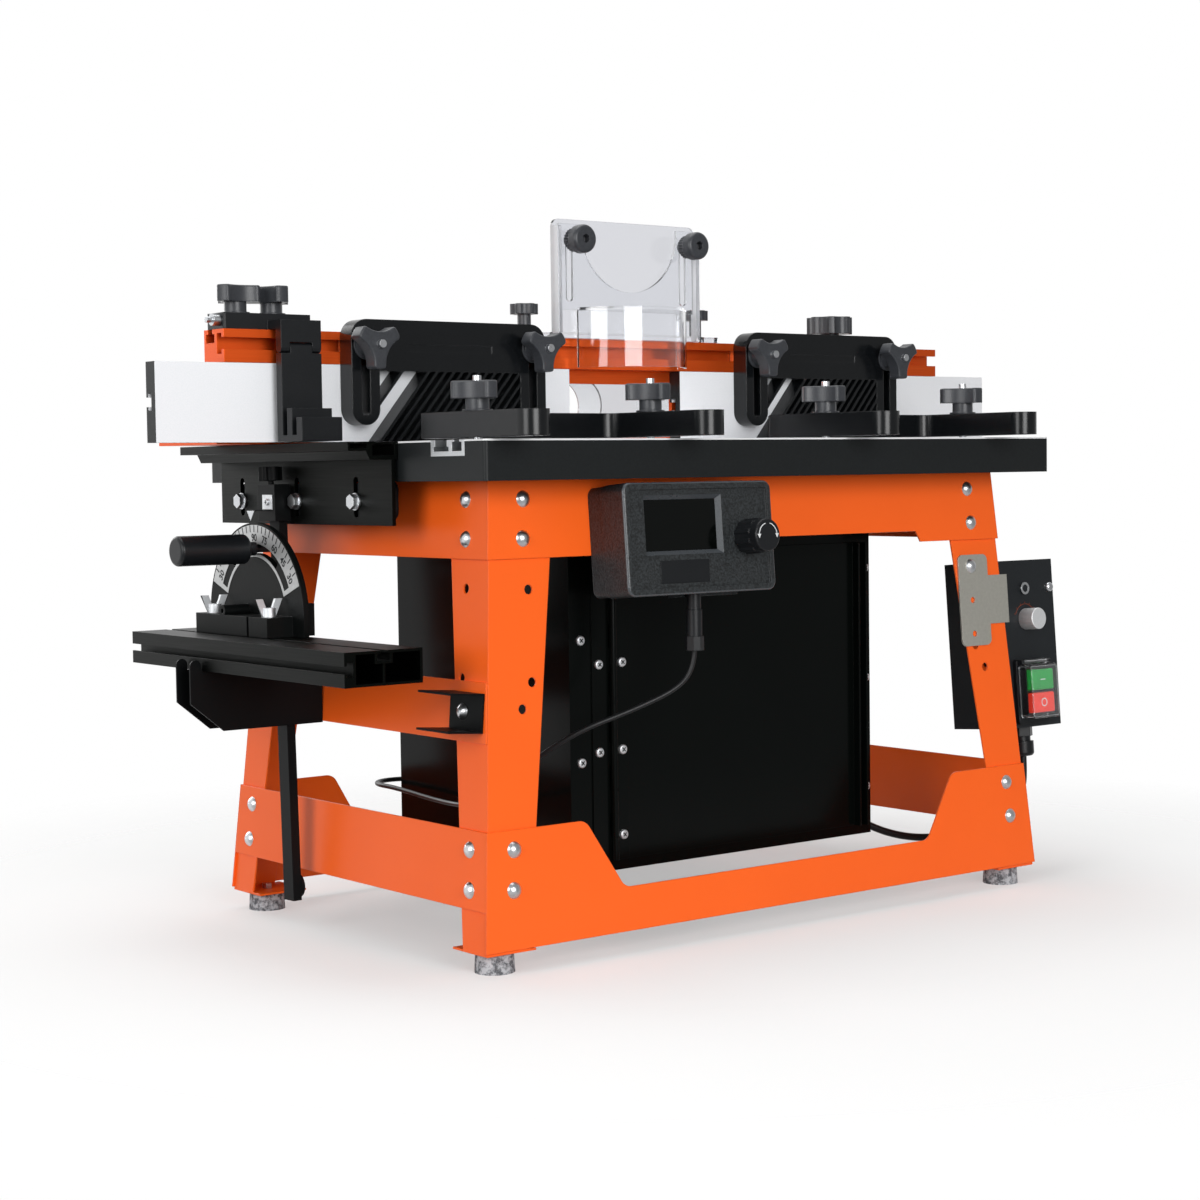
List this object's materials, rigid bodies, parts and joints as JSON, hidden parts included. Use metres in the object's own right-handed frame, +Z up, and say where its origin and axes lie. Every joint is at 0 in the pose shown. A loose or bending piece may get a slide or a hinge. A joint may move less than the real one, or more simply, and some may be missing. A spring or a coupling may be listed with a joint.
{
  "type": "benchtop router table",
  "caption": "Benchtop router table: splayed sheet frame, slotted top, sliding fence with clear guard, featherboards, flip stop, stored mitre gauge, enclosed router lift and switch box.",
  "frame": {"origin": "on the bench, under the middle of the object's outer box, cables left out", "axes": "+X to the right along the table, +Y to the back, +Z up"},
  "size_m": [1.135, 0.566, 0.7336],
  "materials": {
    "orange_paint": "gloss powder coat",
    "black_paint": "gloss",
    "black_plastic": "fine texture",
    "satin_plastic": "satin",
    "rubber": "matte",
    "zinc": "zinc",
    "steel": "brushed",
    "white_board": "laminate",
    "aluminium": "anodised",
    "orange_anodised": "anodised",
    "black_anodised": "anodised",
    "black_casting": "painted casting",
    "black_steel": "blackened",
    "clear": "clear plastic",
    "screen": "gloss",
    "green": "satin",
    "red": "satin",
    "cable": "satin"
  },
  "bodies": {
    "stand": {"cable_fittings": "black_plastic", "display_bezel": "black_plastic", "display_cable": "cable", "display_housing": "black_plastic", "display_screen": "screen", "enclosure_hardware": "zinc", "enclosure_shell": "black_paint", "fence_lock_knobs": "black_plastic", "frame_bolts": "zinc", "gauge_fence": "black_anodised", "gauge_head": "black_casting", "insert_ring": "black_plastic", "legs": "orange_paint", "lift_frame": "steel", "lower_rails": "orange_paint", "motor_lead": "cable", "rubber_feet": "rubber", "side_rail": "black_anodised", "storage_brackets": "black_paint", "switch_base": "black_plastic", "switch_box": "black_paint", "table_top": "white_board", "table_track": "aluminium", "tee_bracket": "steel", "top_rails": "orange_paint"},
    "door": {"enclosure_door": "black_paint"},
    "encoder": {"encoder_knob": "black_plastic"},
    "speed": {"speed_knob": "steel"},
    "cover": {"switch_cover": "clear"},
    "start": {"start_button": "green"},
    "stop": {"stop_button": "red"},
    "fence": {"fence_extrusion": "orange_anodised", "dust_hood": "clear", "guard_base": "clear", "fence_fittings": "black_plastic"},
    "face_left": {"fence_face_left": "white_board"},
    "face_right": {"fence_face_right": "white_board"},
    "shield": {"guard_shield": "clear"},
    "guard_knob_l": {"guard_knob_left": "black_plastic"},
    "guard_knob_r": {"guard_knob_right": "black_plastic"},
    "flip_stop": {"stop_block": "satin_plastic", "stop_knobs": "black_plastic"},
    "flip_arm": {"stop_arm": "satin_plastic"},
    "board_left": {"fence_featherboard_left": "satin_plastic"},
    "board_right": {"fence_featherboard_right": "satin_plastic"},
    "flat_left": {"table_featherboard_left": "satin_plastic"},
    "flat_right": {"table_featherboard_right": "satin_plastic"},
    "gauge_bar": {"gauge_bar": "black_steel"},
    "gauge_handle": {"gauge_handle": "black_plastic"},
    "router": {"router_motor": "aluminium"},
    "spindle": {"router_spindle": "steel"},
    "lift_screw": {"lift_screw": "steel"},
    "fence_knob_1": {"fence_knob_1": "black_plastic"},
    "table_knob_1": {"table_knob_1": "black_plastic"},
    "fence_knob_2": {"fence_knob_2": "black_plastic"},
    "table_knob_2": {"table_knob_2": "black_plastic"},
    "fence_knob_3": {"fence_knob_3": "black_plastic"},
    "table_knob_3": {"table_knob_3": "black_plastic"},
    "fence_knob_4": {"fence_knob_4": "black_plastic"},
    "table_knob_4": {"table_knob_4": "black_plastic"}
  },
  "joints": [
    {"name": "door_hinge", "type": "hinge", "parent": "stand", "child": "door", "pos_m": [-0.156, -0.126, 0.0756], "axis": [0, 0, -1], "range_deg": [0, 20]},
    {"name": "encoder_turn", "type": "hinge", "parent": "stand", "child": "encoder", "pos_m": [-0.073, -0.23528, 0.39974], "axis": [0, -0.9971, 0.0767], "continuous": true},
    {"name": "speed_turn", "type": "hinge", "parent": "stand", "child": "speed", "pos_m": [0.40477, -0.17112, 0.2921], "axis": [0, -0.9971, 0.0767], "range_deg": [-280, 0]},
    {"name": "cover_flip", "type": "hinge", "parent": "stand", "child": "cover", "pos_m": [0.40477, -0.18443, 0.24424], "axis": [-1, 0, 0], "range_deg": [0, 95]},
    {"name": "start_press", "type": "slide", "parent": "stand", "child": "start", "axis": [0, 0.9971, -0.0767], "range_m": [0, 0.0035], "stiffness_N_per_m": 600, "springref_m": -0.002},
    {"name": "stop_press", "type": "slide", "parent": "stand", "child": "stop", "axis": [0, 0.9971, -0.0767], "range_m": [0, 0.0035], "stiffness_N_per_m": 600, "springref_m": -0.002},
    {"name": "fence_slide", "type": "slide", "parent": "stand", "child": "fence", "axis": [0, 1, 0], "range_m": [-0.03, 0.035]},
    {"name": "face_left_slide", "type": "slide", "parent": "fence", "child": "face_left", "axis": [1, 0, 0], "range_m": [-0.02, 0.05]},
    {"name": "face_right_slide", "type": "slide", "parent": "fence", "child": "face_right", "axis": [-1, 0, 0], "range_m": [-0.02, 0.05]},
    {"name": "shield_slide", "type": "slide", "parent": "fence", "child": "shield", "axis": [0, 0, 1], "range_m": [-0.001, 0.055]},
    {"name": "guard_knob_left_turn", "type": "hinge", "parent": "fence", "child": "guard_knob_l", "pos_m": [-0.0825, 0.0322, 0.7106], "axis": [0, -1, 0], "continuous": true},
    {"name": "guard_knob_right_turn", "type": "hinge", "parent": "fence", "child": "guard_knob_r", "pos_m": [0.0745, 0.0322, 0.7106], "axis": [0, -1, 0], "continuous": true},
    {"name": "flip_stop_slide", "type": "slide", "parent": "fence", "child": "flip_stop", "axis": [1, 0, 0], "range_m": [-0.02, 0.02]},
    {"name": "flip_arm_hinge", "type": "hinge", "parent": "flip_stop", "child": "flip_arm", "pos_m": [-0.442, 0.028, 0.5896], "axis": [-1, 0, 0], "range_deg": [0, 90]},
    {"name": "board_left_slide", "type": "slide", "parent": "fence", "child": "board_left", "axis": [0, 0, 1], "range_m": [-0.0015, 0.06]},
    {"name": "board_right_slide", "type": "slide", "parent": "fence", "child": "board_right", "axis": [0, 0, 1], "range_m": [-0.0015, 0.06]},
    {"name": "flat_left_slide", "type": "slide", "parent": "stand", "child": "flat_left", "axis": [1, 0, 0], "range_m": [-0.01, 0.08]},
    {"name": "flat_right_slide", "type": "slide", "parent": "stand", "child": "flat_right", "axis": [1, 0, 0], "range_m": [-0.08, 0.04]},
    {"name": "gauge_bar_swing", "type": "hinge", "parent": "stand", "child": "gauge_bar", "pos_m": [-0.4, 0.113, 0.3246], "axis": [1, 0, 0], "range_deg": [-1, 1]},
    {"name": "gauge_handle_turn", "type": "hinge", "parent": "stand", "child": "gauge_handle", "pos_m": [-0.425, 0.113, 0.3926], "axis": [-1, 0, 0], "continuous": true},
    {"name": "router_lift", "type": "slide", "parent": "stand", "child": "router", "axis": [0, 0, 1], "range_m": [-0.04, 0.045]},
    {"name": "spindle_turn", "type": "hinge", "parent": "router", "child": "spindle", "pos_m": [0, 0.028, 0.3666], "axis": [0, 0, 1], "continuous": true},
    {"name": "lift_screw_turn", "type": "hinge", "parent": "stand", "child": "lift_screw", "pos_m": [0, 0.103, 0.4506], "axis": [0, 0, 1], "range_deg": [-2890, 3250]},
    {"name": "fence_knob_1_turn", "type": "hinge", "parent": "fence", "child": "fence_knob_1", "pos_m": [-0.34725, 0.043, 0.5936], "axis": [0, -1, 0], "continuous": true},
    {"name": "fence_knob_2_turn", "type": "hinge", "parent": "fence", "child": "fence_knob_2", "pos_m": [-0.14125, 0.043, 0.5936], "axis": [0, -1, 0], "continuous": true},
    {"name": "fence_knob_3_turn", "type": "hinge", "parent": "fence", "child": "fence_knob_3", "pos_m": [0.17325, 0.043, 0.5936], "axis": [0, -1, 0], "continuous": true},
    {"name": "fence_knob_4_turn", "type": "hinge", "parent": "fence", "child": "fence_knob_4", "pos_m": [0.37925, 0.043, 0.5936], "axis": [0, -1, 0], "continuous": true},
    {"name": "table_knob_1_turn", "type": "hinge", "parent": "flat_left", "child": "table_knob_1", "pos_m": [-0.356, -0.1825, 0.4966], "axis": [0, 0, 1], "continuous": true},
    {"name": "table_knob_2_turn", "type": "hinge", "parent": "flat_left", "child": "table_knob_2", "pos_m": [-0.15, -0.1825, 0.4966], "axis": [0, 0, 1], "continuous": true},
    {"name": "table_knob_3_turn", "type": "hinge", "parent": "flat_right", "child": "table_knob_3", "pos_m": [0.085, -0.1825, 0.4966], "axis": [0, 0, 1], "continuous": true},
    {"name": "table_knob_4_turn", "type": "hinge", "parent": "flat_right", "child": "table_knob_4", "pos_m": [0.291, -0.1825, 0.4966], "axis": [0, 0, 1], "continuous": true}
  ],
  "couplings": [
    {"joint": "lift_screw_turn", "follows": "router_lift", "rad_per_m": 1256.6}
  ]
}
